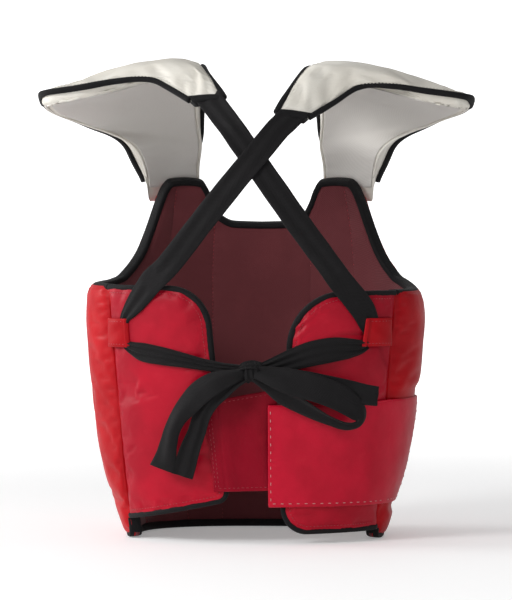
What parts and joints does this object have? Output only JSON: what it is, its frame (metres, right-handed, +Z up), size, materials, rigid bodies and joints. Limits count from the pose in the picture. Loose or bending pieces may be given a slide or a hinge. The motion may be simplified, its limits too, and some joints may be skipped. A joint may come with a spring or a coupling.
{
  "type": "padded chest protector",
  "caption": "Padded wrap-round chest protector with shoulder pads, crossed back straps tied in a bow, and a hook-and-loop waist belt.",
  "frame": {"origin": "middle of the protector's footprint, on the plane its hem stands on", "axes": "+Z up along the wearer's spine; the front faces -Y; the wearer's left is +X"},
  "size_m": [0.4242, 0.2616, 0.4547],
  "materials": {
    "red_vinyl": "soft gloss coated vinyl",
    "white_vinyl": "matte coated vinyl",
    "lining": "dull woven nylon",
    "black_binding": "matte folded tape",
    "black_webbing": "woven webbing",
    "padding_foam": "closed-cell foam",
    "hook_loop": "hook and loop tape"
  },
  "bodies": {
    "trunk": {"front_cover": "red_vinyl", "foam_centre": "padding_foam", "foam_inner_left": "padding_foam", "foam_inner_right": "padding_foam", "foam_outer_left": "padding_foam", "foam_outer_right": "padding_foam", "foam_side_left": "padding_foam", "foam_side_right": "padding_foam", "front_lining": "lining", "front_top_binding": "black_binding", "front_hem_binding": "black_binding", "belt_anchor": "red_vinyl", "left_strap_upper": "black_webbing", "right_strap_upper": "black_webbing"},
    "left_wing": {"left_wing_cover": "red_vinyl", "left_wing_foam": "padding_foam", "left_wing_lining": "lining", "left_wing_binding": "black_binding", "left_keeper": "red_vinyl", "right_strap_lower": "black_webbing", "right_tie": "black_webbing", "waist_band": "red_vinyl", "loop_patch": "hook_loop"},
    "right_wing": {"right_wing_cover": "red_vinyl", "right_wing_foam": "padding_foam", "right_wing_lining": "lining", "right_wing_binding": "black_binding", "right_keeper": "red_vinyl", "left_strap_lower": "black_webbing", "left_tie": "black_webbing", "bow_knot": "black_webbing"},
    "waist_belt": {"waist_belt": "red_vinyl", "hook_patch": "hook_loop"},
    "bow_left": {"bow_loop_left": "black_webbing", "bow_tail_left": "black_webbing"},
    "bow_right": {"bow_loop_right": "black_webbing", "bow_tail_right": "black_webbing"},
    "left_shoulder_pad": {"left_pad_top_cover": "white_vinyl", "left_pad_foam": "padding_foam", "left_pad_under_cover": "white_vinyl", "left_pad_outer_binding": "black_binding", "left_pad_neck_binding": "black_binding", "left_pad_hem_tape": "black_binding"},
    "right_shoulder_pad": {"right_pad_top_cover": "white_vinyl", "right_pad_foam": "padding_foam", "right_pad_under_cover": "white_vinyl", "right_pad_outer_binding": "black_binding", "right_pad_neck_binding": "black_binding", "right_pad_hem_tape": "black_binding"}
  },
  "joints": [
    {"name": "right_wing_fold", "type": "hinge", "parent": "trunk", "child": "right_wing", "pos_m": [-0.12975, 0.06979, 0.13311], "axis": [-0.0822, 0.1074, 0.9908], "range_deg": [0, 70], "stiffness_Nm_per_rad": 0.6},
    {"name": "left_wing_fold", "type": "hinge", "parent": "trunk", "child": "left_wing", "pos_m": [0.13019, 0.06979, 0.13311], "axis": [-0.0822, -0.1074, -0.9908], "range_deg": [0, 42], "stiffness_Nm_per_rad": 0.6},
    {"name": "waist_belt_peel", "type": "hinge", "parent": "right_wing", "child": "waist_belt", "pos_m": [-0.12975, 0.06979, 0.13311], "axis": [-0.0822, 0.1074, 0.9908], "range_deg": [0, 28], "stiffness_Nm_per_rad": 0.2},
    {"name": "right_bow_lift", "type": "hinge", "parent": "right_wing", "child": "bow_right", "pos_m": [-0.00128, 0.12264, 0.1635], "axis": [0, 1, 0], "range_deg": [0, 42.5]},
    {"name": "left_bow_swing", "type": "hinge", "parent": "right_wing", "child": "bow_left", "pos_m": [-0.00128, 0.12264, 0.1635], "axis": [0, -1, 0], "range_deg": [0, 30]},
    {"name": "left_pad_lift", "type": "hinge", "parent": "trunk", "child": "left_shoulder_pad", "pos_m": [0.08722, -0.10536, 0.322], "axis": [0.8873, 0.4612, 0], "range_deg": [0, 12]},
    {"name": "right_pad_lift", "type": "hinge", "parent": "trunk", "child": "right_shoulder_pad", "pos_m": [-0.08678, -0.10536, 0.322], "axis": [0.8873, -0.4612, 0], "range_deg": [0, 12]}
  ],
  "couplings": [
    {"joint": "left_wing_fold", "follows": "right_wing_fold", "ratio": 0.6},
    {"joint": "right_bow_lift", "follows": "waist_belt_peel", "ratio": 1.5}
  ]
}
